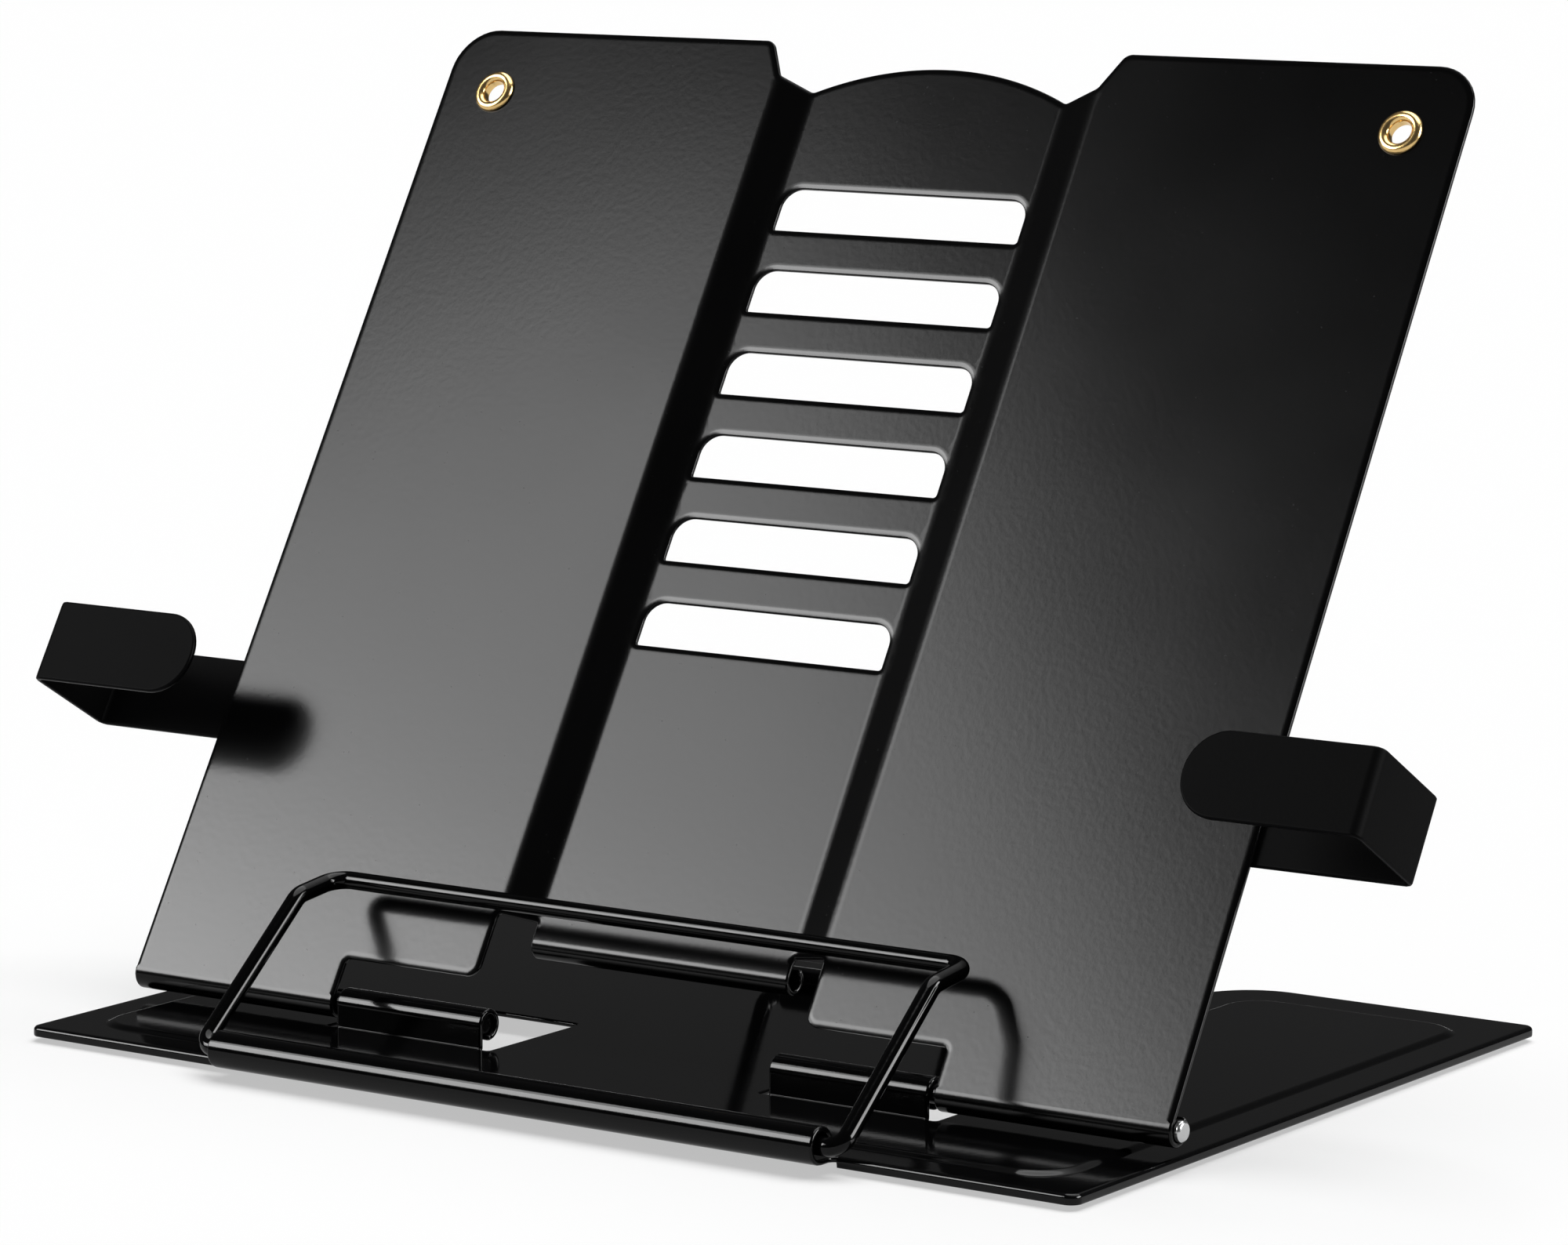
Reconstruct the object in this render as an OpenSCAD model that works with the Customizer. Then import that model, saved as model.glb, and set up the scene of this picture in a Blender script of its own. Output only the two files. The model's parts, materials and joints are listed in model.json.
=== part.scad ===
// Folding book stand: a sheet-steel panel with a sunk, slotted channel leans on a wire strut and
// folds about two short steel rods on a stamped base. A wire loop turns in the base's curled front edge to
// hold the pages, and a sliding clip at each side holds the covers.
// Millimetres, +Z up, the reader on the -Y side, origin on the table under the middle of the base.

/* [Sheet and wire] */
// Thickness of the sheet steel of the base and the panel
sheet_t = 0.9; // [0.7:0.05:1.2]
// Diameter of the wire of the page loop and the strut
wire_d = 3; // [2.4:0.1:3.6]
// Gap all round between a turning wire and the roll that holds it
wire_gap = 0.05; // [0.02:0.01:0.1]

/* [Base plate] */
// Width of the base plate
base_w = 205; // [190:1:240]
// Depth of the base plate without its front roll
base_d = 143.5; // [142:0.5:180]
// Radius of the plate's corners
base_corner_r = 2; // [1.5:0.5:6]
// Height of the plate's border above the table
base_lift = 1.6; // [1.2:0.1:2]
// How far the rim at the plate's edge is turned down below the border
rim_drop = 0.8; // [0.4:0.1:1]
// Height that the field is raised above the border
field_raise = 0.6; // [0.4:0.1:0.9]
// Width of the border at the two sides
border_side = 8; // [6:0.5:14]
// Width of the border at the front
border_front = 7; // [5.5:0.5:14]
// Width of the border at the rear
border_rear = 10; // [6:0.5:12]
// Radius of the field's corners
field_corner_r = 7; // [4:0.5:10]
// Half width of the cut-out in the plate's rear edge
rear_cut_half = 42.5; // [30:0.5:50]
// Radius of the outer corners of that cut-out
rear_cut_mouth_r = 13.5; // [8:0.5:15]
// Straight length of the cut-out's sides between their round corners
rear_cut_side = 0.5; // [0.5:0.5:2]
// Radius of the inner corners of that cut-out
rear_cut_r = 4; // [3:0.5:5]

/* [Front roll and page loop] */
// Half length of the front roll
front_roll_half = 59.2; // [50:0.1:64]
// Wall of the front roll, where the sheet goes round more than once
front_roll_wall = 1.5; // [0.9:0.05:1.8]
// How far the roll's centre stands in front of the plate's edge
front_roll_nose = 2.7; // [2.2:0.1:4]
// Side gap between the end of the roll and the loop's bend
loop_side_gap = 0.8; // [0.4:0.1:1.5]
// Radius of the loop's lower bends at the wire's middle
loop_foot_bend = 2.6; // [2.2:0.1:4]
// Radius of the loop's upper bends at the wire's middle
loop_top_bend = 3.4; // [2.6:0.1:5]
// Length of the loop's legs from the turning axis to their knees
loop_leg = 32.4; // [26:0.1:36]
// Angle by which the loop's head is bent back from the legs at the knees
loop_knee = 33; // [15:1:45]
// Radius of the knees at the wire's middle
loop_knee_bend = 4; // [3:0.1:6]
// Length of the loop's head from the knees to the top bar's middle
loop_head = 10.1; // [8:0.1:12]
// Slope of the loop's legs at rest, up from level and towards the panel
loop_angle = 40; // [38:0.5:90]

/* [Panel hinge] */
// Diameter of the two hinge rods
rod_d = 3.4; // [2.8:0.1:4]
// Length of each rod that stands out at the side of the panel
rod_overhang = 1; // [0.4:0.1:3]
// How far each rod's inner end stays inside its base knuckle
rod_inset = 0.8; // [0.4:0.1:4]
// Chamfer on the rod's ends
rod_chamfer = 0.3; // [0.1:0.05:0.5]
// Gap all round between the rod and the panel's rolls
rod_gap = 0.05; // [0.02:0.01:0.1]
// Gap all round between the rod and the base's knuckles
knuckle_gap = 0.02; // [0.01:0.01:0.05]
// Distance of the hinge axis behind the plate's front edge
hinge_setback = 29.4; // [27:0.1:36]
// Height of the hinge axis above the raised field
hinge_rise = 3.5; // [3.2:0.1:6]
// Distance from the middle to the inner end of each base knuckle
knuckle_in = 28.6; // [28.5:0.1:32]
// Length of each base knuckle
knuckle_len = 30; // [20:0.1:34]
// Gap between a base knuckle and the end of a panel roll
knuckle_side_gap = 1.1; // [0.5:0.1:2]
// Length of the hole that each knuckle's tab leaves behind the hinge axis
knuckle_hole = 22; // [15:0.5:26]
// How much wider than its tab each hole is, at either side
tab_relief = 1.8; // [0.8:0.1:2.2]

/* [Panel] */
// How far the panel's sides stay inside the plate's sides
panel_inset = 0; // [0:0.5:4]
// Height of the panel from the hinge axis
panel_h = 180; // [176:1:220]
// Slope of the panel at rest, up from level
panel_angle = 59; // [50:0.5:64]
// Radius of the panel's upper corners
panel_corner_r = 8; // [3:0.5:12]
// Half width of the channel's floor
floor_half = 25.5; // [25:0.1:27]
// Width of each sloped wall of the channel
wall_run = 6.5; // [4:0.1:8]
// Depth of the channel
channel_recess = 2; // [1:0.1:2.2]
// Width of the sloped corner at the top of each wing
shoulder_run = 3.6; // [2:0.1:6]
// Drop of the sloped corner at the top of each wing
shoulder_drop = 6.5; // [4:0.1:8]
// Drop of the channel's floor at its upper corners
floor_drop = 8.7; // [8.2:0.1:12]
// Rise of the arched top edge of the channel's floor
floor_arch = 5.5; // [3:0.1:7]
// Height above the hinge axis of the notches over the knuckles
notch_h = 7; // [5.5:0.1:9]
// Radius of the notches' outer upper corners
notch_r = 1; // [0.5:0.1:2.5]
// Radius of the lower inner corner of each wing
wing_corner_r = 2.4; // [1:0.1:4]
// How much wider than the channel the window below it is, at either side
window_margin = 0.5; // [0.1:0.1:3]
// Height above the hinge axis of the window
window_h = 18.3; // [17.5:0.1:22]
// Radius of the rolled hem under the channel's floor
hem_r = 2.4; // [1.8:0.1:2.6]
// Height above the hinge axis of the hem's middle
hem_s = 15.2; // [14:0.1:16]

/* [Slots] */
// Number of slots
slot_count = 6; // [3:1:6]
// Width of floor left at each end of a slot
slot_margin = 1; // [0.5:0.1:3]
// Height of a slot
slot_h = 8; // [6:0.1:9]
// Distance from one slot to the next
slot_pitch = 15.4; // [13:0.1:15.6]
// Height above the hinge axis of the lowest slot's lower edge
slot_low = 68.2; // [60:0.1:72]
// Radius of a slot's upper corners
slot_r = 3.5; // [1:0.1:5]

/* [Support strut] */
// Distance of the strut's axis behind the hinge axis
strut_setback = 65.5; // [58:0.5:72]
// Gap between the strut's top bar and the back of the channel
strut_gap = 0.35; // [0.3:0.05:0.6]
// Gap at each side between the strut and the end of a slot
strut_slot_gap = 3.5; // [1.5:0.1:5]
// Radius of the strut's bends at the wire's middle
strut_bend = 2.8; // [2.2:0.1:4]
// Side gap between the end of the strut's knuckle and the strut's bend
strut_side_gap = 1.2; // [0.5:0.1:3]
// Length of the hole that the strut knuckle's tab leaves
strut_hole = 15; // [12:0.5:18]

/* [Page clips] */
// Thickness of the clip's strip
clip_t = 1.1; // [0.8:0.05:1.4]
// Width of the clip's strip
clip_w = 14.5; // [10:0.1:18]
// Height of the clip's middle above the hinge axis
clip_s = 50; // [44:0.5:52]
// How far the clip's outer wall stands out past the panel's side
clip_reach = 27.9; // [20:0.1:34]
// Length of the clip's front tab
clip_tab = 32.7; // [24:0.1:40]
// Clear depth between the panel's face and the front tab
clip_mouth = 17.5; // [10:0.1:24]
// Outer radius of the clip's two bends
clip_bend = 1.8; // [1.5:0.1:3]
// Travel of the clip outwards until its stop lip meets the guide
clip_travel = 3.4; // [1:0.1:6]
// Depth of the stop lip at the strip's inner end
clip_lip = 2; // [1.6:0.1:3]

/* [Clip guides] */
// Length of a guide along the strip
guide_len = 24; // [16:0.5:26]
// Distance of the guide's outer end inside the panel's side
guide_in = 8; // [4:0.5:9]
// Gap all round between the strip and its guide
guide_gap = 0.25; // [0.15:0.05:0.4]
// Thickness of the guide
guide_t = 0.9; // [0.6:0.05:1.2]
// Width of each of the guide's flanges
guide_flange = 5; // [3:0.1:8]

/* [Eyelets] */
// Distance of an eyelet from the panel's side
eyelet_side = 11.5; // [10:0.1:15]
// Distance of an eyelet from the panel's top edge
eyelet_top = 12.3; // [10:0.1:16]
// Radius of the eyelet's hole
eyelet_r = 2; // [1.5:0.1:2.5]
// Wall of the eyelet's barrel
eyelet_wall = 0.5; // [0.3:0.05:0.7]
// Width of the eyelet's front rim
eyelet_rim = 1.9; // [1.4:0.1:2.4]
// Width of the eyelet's rear rim
eyelet_rear_rim = 1.6; // [1.2:0.1:2]
// Gap between the eyelet's barrel and its hole in the panel
eyelet_gap = 0.03; // [0.01:0.01:0.1]

/* [Feet] */
// Diameter of a rubber foot
foot_d = 12; // [8:0.5:14]
// Distance of a foot's middle from the plate's side
foot_side = 21.5; // [19:0.5:28]
// Distance of a foot's middle from the plate's front or rear edge
foot_end = 19; // [18:0.5:26]
// Taper of a foot's rim
foot_taper = 0.6; // [0.2:0.1:1]

/* [Hidden] */
$fn = 64;
// Overrun of a cut past the face that it opens
over = 1;
wire_r = wire_d / 2;
rod_r = rod_d / 2;
// Heights of the base
field_bottom = base_lift + field_raise;
field_top = field_bottom + sheet_t;
// Depth of the cut-out in the plate's rear edge
rear_cut_d = rear_cut_mouth_r + rear_cut_side + rear_cut_r;
// Front roll and page loop; the base and its roll together are centred on the origin
front_roll_r = wire_r + wire_gap + front_roll_wall;
base_rear = (base_d + front_roll_nose + front_roll_r) / 2;
base_front = base_rear - base_d;
loop_y = base_front - front_roll_nose;
loop_z = base_lift + front_roll_r;
loop_half = front_roll_half + loop_side_gap + loop_foot_bend;
// The knee pieces are a little thicker than the wire, and the straight lengths run on into them
knee_swell = 0.03;
knee_lap = 0.15;
knee_cut = loop_knee_bend * tan(loop_knee / 2);
// Panel hinge
hinge_y = base_front + hinge_setback;
hinge_z = field_top + hinge_rise;
panel_roll_r = rod_r + rod_gap + sheet_t;
knuckle_r = rod_r + knuckle_gap + sheet_t;
knuckle_out = knuckle_in + knuckle_len;
notch_half = knuckle_out + knuckle_side_gap;
// Panel, with heights measured forwards from the hinge axis, square to the panel
panel_w = base_w - 2 * panel_inset;
wing_front = panel_roll_r;
wing_back = wing_front - sheet_t;
floor_front = wing_front - channel_recess;
floor_back = floor_front - sheet_t;
channel_half = floor_half + wall_run;
window_half = channel_half + window_margin;
slot_half = floor_half - slot_margin;
arch_r = (floor_half * floor_half + floor_arch * floor_arch) / (2 * floor_arch);
eyelet_x = panel_w / 2 - eyelet_side;
eyelet_s = panel_h - eyelet_top;
// Strut: its axis lies below the hinge axis by as much as its top bar lies behind that axis, and it is
// shortened to suit, so that the bar stays behind the channel as the strut turns twice as fast as the panel
bar_back = wire_r + strut_gap - floor_back;
strut_y = hinge_y + strut_setback;
strut_z = hinge_z - bar_back;
strut_len = strut_setback - bar_back * tan(panel_angle / 2);
strut_angle = 2 * panel_angle;
strut_half = slot_half - strut_slot_gap - wire_r;
strut_knuckle_half = strut_half - strut_bend - strut_side_gap;
strut_knuckle_r = wire_r + wire_gap + sheet_t;
// Clips and their guides
clip_front = wing_front + clip_mouth + clip_t;
clip_strip_front = wing_back - guide_gap;
clip_strip_back = clip_strip_front - clip_t;
clip_out = panel_w / 2 + clip_reach;
clip_tip = clip_out - clip_tab;
guide_back = clip_strip_back - guide_gap;
guide_right = panel_w / 2 - guide_in;
guide_left = guide_right - guide_len;
clip_in = guide_left - clip_travel - clip_t;

echo(hinge_axis = [hinge_y, hinge_z], strut_axis = [strut_y, strut_z], loop_axis = [loop_y, loop_z]);

// A flat shape in Y and Z, carried along X from one place to another
module along_x(from, to) {
    translate([from, 0, 0]) rotate([90, 0, 90]) linear_extrude(to - from) children();
}

// A flat shape in X and Z, carried along Y from one place to another
module along_y(from, to) {
    translate([0, to, 0]) rotate([90, 0, 0]) linear_extrude(to - from) children();
}

// A rectangle from one corner to the opposite one
module box2(x0, y0, x1, y1) {
    translate([x0, y0]) square([x1 - x0, y1 - y0]);
}

// A rectangle with four round corners
module round_box2(x0, y0, x1, y1, r) {
    box2(x0 + r, y0, x1 - r, y1);
    box2(x0, y0 + r, x1, y1 - r);
    for (x = [x0 + r, x1 - r], y = [y0 + r, y1 - r]) translate([x, y]) circle(r);
}

// The sharp corner that a round corner leaves out; sx and sy point from the arc to the corner
module corner2(x, y, r, sx, sy) {
    difference() {
        box2(min(x, x - sx * r), min(y, y - sy * r), max(x, x - sx * r), max(y, y - sy * r));
        translate([x - sx * r, y - sy * r]) circle(r);
    }
}

// Section of a sheet edge curled into a roll round the origin
module curl2(outer, t) {
    difference() {
        circle(outer);
        circle(outer - t);
    }
}

// Places a shape that is drawn flat, X across, Y up the panel from the hinge axis and Z forwards
module on_panel() {
    translate([0, hinge_y, hinge_z]) rotate([panel_angle, 0, 0]) children();
}

// Half of a wire, drawn from the middle of its lower bar along X: straight lengths with a square bend
// to the left after each but the last
module half_wire(lengths, bends, r, i = 0) {
    rotate([0, 90, 0]) cylinder(h = lengths[i], r = r);
    if (i < len(bends)) translate([lengths[i], bends[i], 0]) {
        rotate([0, 0, -90]) rotate_extrude(angle = 90) translate([bends[i], 0]) circle(r);
        rotate([0, 0, 90]) translate([0, -bends[i], 0]) half_wire(lengths, bends, r, i + 1);
    }
}

// A closed rectangle of wire, its lower bar on the X axis
module wire_loop(half, height, low_bend, top_bend) {
    lengths = [half - low_bend, height - low_bend - top_bend, half - top_bend];
    for (side = [0, 1]) mirror([side, 0, 0]) half_wire(lengths, [low_bend, top_bend], wire_r);
}

// Base plate

// Cut-out in the rear edge, grown by a margin; mouth and inner are the radii of its outer and inner corners
module rear_cut2(margin, mouth, inner) {
    half = rear_cut_half + margin;
    rear = base_rear - margin;
    front = rear - rear_cut_d;
    difference() {
        box2(-half, front, half, rear + over);
        for (side = [-1, 1]) corner2(side * half, front, inner, side, -1);
    }
    for (side = [-1, 1]) corner2(side * half, rear, mouth, -side, 1);
}

// Outline of the plate, drawn in by a margin
module plate2(margin) difference() {
    round_box2(-base_w / 2 + margin, base_front + margin, base_w / 2 - margin, base_rear - margin,
               base_corner_r - margin);
    rear_cut2(margin, rear_cut_mouth_r - margin, rear_cut_r + margin);
}

// Outline of the raised field, drawn in by a margin
module field2(margin) difference() {
    round_box2(-base_w / 2 + border_side + margin, base_front + border_front + margin,
               base_w / 2 - border_side - margin, base_rear - border_rear - margin, field_corner_r - margin);
    rear_cut2(border_rear + margin, field_corner_r - margin, rear_cut_r + margin);
}

// A tab that stands up from the field and curls back over an axis at height z above the table
module knuckle2(outer, z) {
    difference() {
        curl2(outer, sheet_t);
        box2(-outer + sheet_t, -outer - over, -sheet_t / 2, 0);
    }
    box2(-outer, field_bottom - z, -outer + sheet_t, 0);
}

// Hole that a curled tab leaves behind its root
module tab_hole(x0, x1, y, outer, length) {
    translate([0, 0, field_bottom - over]) linear_extrude(sheet_t + 2 * over)
        box2(x0 - tab_relief, y - outer + sheet_t, x1 + tab_relief, y + length);
}

module base_plate() color("#17181a") {
    difference() {
        union() {
            translate([0, 0, base_lift - rim_drop]) linear_extrude(sheet_t + rim_drop) plate2(0);
            translate([0, 0, base_lift]) linear_extrude(field_raise + sheet_t) field2(0);
        }
        translate([0, 0, base_lift - rim_drop - over]) linear_extrude(rim_drop + over) plate2(sheet_t);
        translate([0, 0, base_lift - over]) linear_extrude(field_raise + over) field2(sheet_t);
        for (side = [0, 1]) mirror([side, 0, 0])
            tab_hole(knuckle_in, knuckle_out, hinge_y, knuckle_r, knuckle_hole);
        tab_hole(-strut_half - wire_r, strut_half + wire_r, strut_y, strut_knuckle_r, strut_hole);
    }
    for (side = [0, 1]) mirror([side, 0, 0])
        along_x(knuckle_in, knuckle_out) translate([hinge_y, hinge_z]) knuckle2(knuckle_r, hinge_z);
    along_x(-strut_knuckle_half, strut_knuckle_half)
        translate([strut_y, strut_z]) knuckle2(strut_knuckle_r, strut_z);
    along_x(-front_roll_half, front_roll_half) translate([loop_y, loop_z]) {
        difference() {
            curl2(front_roll_r, front_roll_wall);
            box2(0, -front_roll_r + sheet_t, front_roll_r + over, -front_roll_wall / 2);
        }
        box2(0, -front_roll_r, front_roll_nose + over, -front_roll_r + sheet_t);
    }
}

// Panel

// Section of the sheet across the channel
module panel_section2() {
    half = panel_w / 2;
    front = [[-half, wing_front], [-channel_half, wing_front], [-floor_half, floor_front],
             [floor_half, floor_front], [channel_half, wing_front], [half, wing_front]];
    back = [for (i = [len(front) - 1 : -1 : 0]) front[i] - [0, sheet_t]];
    polygon(concat(front, back));
}

// What is cut away above the channel: sloped shoulders and an arched floor edge
module channel_top2() {
    floor_y = panel_h - floor_drop;
    difference() {
        polygon([[-channel_half - shoulder_run, panel_h + over], [-channel_half - shoulder_run, panel_h],
                 [-channel_half, panel_h - shoulder_drop], [-floor_half, floor_y],
                 [floor_half, floor_y], [channel_half, panel_h - shoulder_drop],
                 [channel_half + shoulder_run, panel_h], [channel_half + shoulder_run, panel_h + over]]);
        translate([0, floor_y + floor_arch - arch_r]) circle(arch_r, $fn = 4 * $fn);
    }
}

// Outline of the panel, seen square on
module panel_outline2() {
    half = panel_w / 2;
    difference() {
        box2(-half, 0, half, panel_h);
        channel_top2();
        box2(-window_half, -over, window_half, window_h);
        difference() {
            box2(-notch_half, -over, notch_half, notch_h);
            for (side = [-1, 1]) corner2(side * notch_half, notch_h, notch_r, side, 1);
        }
        for (side = [-1, 1]) {
            corner2(side * half, panel_h, panel_corner_r, side, 1);
            corner2(side * window_half, notch_h, wing_corner_r, -side, -1);
        }
    }
}

// One slot with round upper corners, its lower edge on the X axis
module slot2() {
    box2(-slot_half, 0, slot_half, slot_h - slot_r);
    box2(-slot_half + slot_r, 0, slot_half - slot_r, slot_h);
    for (side = [-1, 1]) translate([side * (slot_half - slot_r), slot_h - slot_r]) circle(slot_r);
}

module back_panel() color("#202124") on_panel() {
    difference() {
        intersection() {
            along_y(0, panel_h) panel_section2();
            translate([0, 0, floor_back - over])
                linear_extrude(channel_recess + sheet_t + 2 * over) panel_outline2();
        }
        for (i = [0 : slot_count - 1]) translate([0, slot_low + i * slot_pitch, floor_back - over])
            linear_extrude(sheet_t + 2 * over) slot2();
        for (side = [-1, 1]) translate([side * eyelet_x, eyelet_s, wing_back - over])
            cylinder(h = sheet_t + 2 * over, r = eyelet_r + eyelet_wall + eyelet_gap);
    }
    for (side = [0, 1]) mirror([side, 0, 0]) along_x(notch_half, panel_w / 2) difference() {
        curl2(panel_roll_r, sheet_t);
        box2(0, -sheet_t / 2, panel_roll_r + over, panel_roll_r - sheet_t);
    }
    along_x(-floor_half, floor_half) {
        translate([hem_s, floor_front - hem_r]) difference() {
            curl2(hem_r, sheet_t);
            box2(0, -sheet_t / 2, hem_r + over, hem_r - sheet_t);
        }
        box2(hem_s, floor_back, window_h, floor_front);
    }
}

// Bright rod through a base knuckle and the panel's roll beside it, its outer end chamfered
module hinge_rod(side) {
    from = knuckle_in + rod_inset;
    to = panel_w / 2 + rod_overhang - rod_chamfer;
    color("#c9ccd0") translate([0, hinge_y, hinge_z]) rotate([0, side * 90, 0]) {
        translate([0, 0, from]) cylinder(h = to - from, r = rod_r);
        translate([0, 0, to]) cylinder(h = rod_chamfer, r1 = rod_r, r2 = rod_r - rod_chamfer);
    }
}

module left_hinge_rod() hinge_rod(-1);

module right_hinge_rod() hinge_rod(1);

// Page loop and strut, closed loops of bent wire

// The loop's head, drawn from the end of a knee at the origin's height, X across and Y towards the bar
module loop_top() for (side = [0, 1]) mirror([side, 0, 0]) translate([loop_half, -knee_lap, 0])
    rotate([0, 0, 90]) half_wire([loop_head - knee_cut - loop_top_bend + knee_lap, loop_half - loop_top_bend],
                                 [loop_top_bend], wire_r);

module page_loop() color("#101113") translate([0, loop_y, loop_z]) rotate([loop_angle, 0, 0]) {
    for (side = [0, 1]) mirror([side, 0, 0])
        half_wire([loop_half - loop_foot_bend, loop_leg - loop_foot_bend - knee_cut + knee_lap],
                  [loop_foot_bend], wire_r);
    translate([0, loop_leg - knee_cut, -loop_knee_bend]) {
        for (side = [-1, 1]) translate([side * loop_half, 0, 0]) rotate([90 - loop_knee, 0, 0])
            rotate([90, 0, 90]) rotate_extrude(angle = loop_knee)
                translate([loop_knee_bend, 0]) circle(wire_r + knee_swell);
        rotate([-loop_knee, 0, 0]) translate([0, 0, loop_knee_bend]) loop_top();
    }
}

module support_strut() color("#101113") translate([0, strut_y, strut_z]) rotate([strut_angle, 0, 0])
    wire_loop(strut_half, strut_len, strut_bend, strut_bend);

// Page clips and their guides, drawn for the right side

// Section of the clip without its front tab: a strip with a stop lip, a bend, the outer wall and a bend
module clip_section2() {
    box2(clip_in, clip_strip_back, clip_out - clip_bend, clip_strip_front);
    box2(clip_in, clip_strip_front - clip_lip - clip_t, clip_in + clip_t, clip_strip_front);
    box2(clip_out - clip_t, clip_strip_back + clip_bend, clip_out, clip_front - clip_bend);
    intersection() {
        translate([clip_out - clip_bend, clip_strip_back + clip_bend]) curl2(clip_bend, clip_t);
        box2(clip_out - clip_bend, clip_strip_back, clip_out, clip_strip_back + clip_bend);
    }
    intersection() {
        translate([clip_out - clip_bend, clip_front - clip_bend]) curl2(clip_bend, clip_t);
        box2(clip_out - clip_bend, clip_front - clip_bend, clip_out, clip_front);
    }
}

module page_clip() on_panel() {
    along_y(clip_s - clip_w / 2, clip_s + clip_w / 2) clip_section2();
    translate([0, clip_s, clip_front - clip_t]) linear_extrude(clip_t) {
        box2(clip_tip + clip_w / 2, -clip_w / 2, clip_out - clip_bend, clip_w / 2);
        translate([clip_tip + clip_w / 2, 0]) circle(clip_w / 2);
    }
}

module right_page_clip() color("#1b1b1d") page_clip();

module left_page_clip() color("#1b1b1d") mirror([1, 0, 0]) page_clip();

// Hat-shaped strap over the strip, its flanges on the back of the wing
module clip_guide() on_panel() {
    inner = clip_w / 2 + guide_gap;
    outer = inner + guide_t;
    along_x(guide_left, guide_right) translate([clip_s, 0]) {
        box2(-outer, guide_back - guide_t, outer, guide_back);
        for (side = [0, 1]) mirror([side, 0]) {
            box2(inner, guide_back, outer, wing_back);
            box2(outer, wing_back - guide_t, outer + guide_flange, wing_back);
        }
    }
}

module right_clip_guide() color("#1b1b1d") clip_guide();

module left_clip_guide() color("#1b1b1d") mirror([1, 0, 0]) clip_guide();

// Brass eyelet: a barrel with a half-round rim on the face and a smaller one behind
module eyelet(side) on_panel() translate([side * eyelet_x, eyelet_s, 0]) rotate_extrude() {
    box2(eyelet_r, wing_back, eyelet_r + eyelet_wall, wing_front);
    intersection() {
        translate([eyelet_r + eyelet_rim / 2, wing_front]) circle(eyelet_rim / 2);
        box2(eyelet_r, wing_front, eyelet_r + eyelet_rim, wing_front + eyelet_rim);
    }
    intersection() {
        translate([eyelet_r + eyelet_rear_rim / 2, wing_back]) circle(eyelet_rear_rim / 2);
        box2(eyelet_r, wing_back - eyelet_rear_rim, eyelet_r + eyelet_rear_rim, wing_back);
    }
}

module left_eyelet() color("#c79a45") eyelet(-1);

module right_eyelet() color("#c79a45") eyelet(1);

// Rubber foot under the raised field, its rim tapered towards the table
module foot(side, y) color("#0c0c0c") translate([side * (base_w / 2 - foot_side), y, 0])
    cylinder(h = field_bottom, r1 = foot_d / 2 - foot_taper, r2 = foot_d / 2);

module front_left_foot() foot(-1, base_front + foot_end);
module front_right_foot() foot(1, base_front + foot_end);
module rear_left_foot() foot(-1, base_rear - foot_end);
module rear_right_foot() foot(1, base_rear - foot_end);

base_plate();
back_panel();
left_hinge_rod();
right_hinge_rod();
page_loop();
support_strut();
left_page_clip();
right_page_clip();
left_clip_guide();
right_clip_guide();
left_eyelet();
right_eyelet();
front_left_foot();
front_right_foot();
rear_left_foot();
rear_right_foot();
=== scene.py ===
import json

import bpy
import numpy as np
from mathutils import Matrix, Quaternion, Vector
from mathutils.geometry import delaunay_2d_cdt


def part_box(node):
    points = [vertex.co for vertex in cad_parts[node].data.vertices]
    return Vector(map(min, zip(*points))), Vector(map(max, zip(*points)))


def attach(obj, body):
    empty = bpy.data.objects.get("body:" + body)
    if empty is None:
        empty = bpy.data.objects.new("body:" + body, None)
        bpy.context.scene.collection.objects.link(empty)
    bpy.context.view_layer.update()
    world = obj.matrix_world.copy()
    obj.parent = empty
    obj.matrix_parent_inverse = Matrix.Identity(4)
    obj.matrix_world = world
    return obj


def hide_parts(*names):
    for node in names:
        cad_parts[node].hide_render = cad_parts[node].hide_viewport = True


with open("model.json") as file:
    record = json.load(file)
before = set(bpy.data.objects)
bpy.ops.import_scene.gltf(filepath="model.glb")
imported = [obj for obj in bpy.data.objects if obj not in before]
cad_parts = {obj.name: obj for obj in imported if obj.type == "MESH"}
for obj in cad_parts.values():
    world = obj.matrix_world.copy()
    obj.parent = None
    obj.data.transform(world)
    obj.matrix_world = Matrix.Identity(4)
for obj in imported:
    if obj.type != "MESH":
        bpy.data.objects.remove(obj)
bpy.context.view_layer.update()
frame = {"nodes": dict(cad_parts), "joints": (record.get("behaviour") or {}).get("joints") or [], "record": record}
print("frame loaded,", len(frame["nodes"]), "nodes")

# lengths are in millimetres until a mesh is made; places come from the frame's joints and boxes
perMetre = 1000.0
# a length too small to see, which keeps two arcs or two zones apart
hair = 0.01
sides = ((-1, "left"), (1, "right"))
bodyOf = {node: body for body, nodes in frame["record"]["behaviour"]["bodies"].items() for node in nodes}
hinges = [joint for joint in frame["joints"] if joint["type"] == "hinge"]
axisAt = {joint["name"]: np.array(joint["pos_m"]) * perMetre for joint in hinges}
boxOf = {node: [np.array(corner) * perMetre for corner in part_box(node)] for node in frame["nodes"]}


# outlines in the flat

def turned(loop, left):
    # the loop run anticlockwise where left is true, clockwise where it isn't
    following = np.roll(loop, -1, axis=0)
    area = np.sum(loop[:, 0] * following[:, 1] - following[:, 0] * loop[:, 1])
    return loop if (area > 0) == left else loop[::-1]


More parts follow.
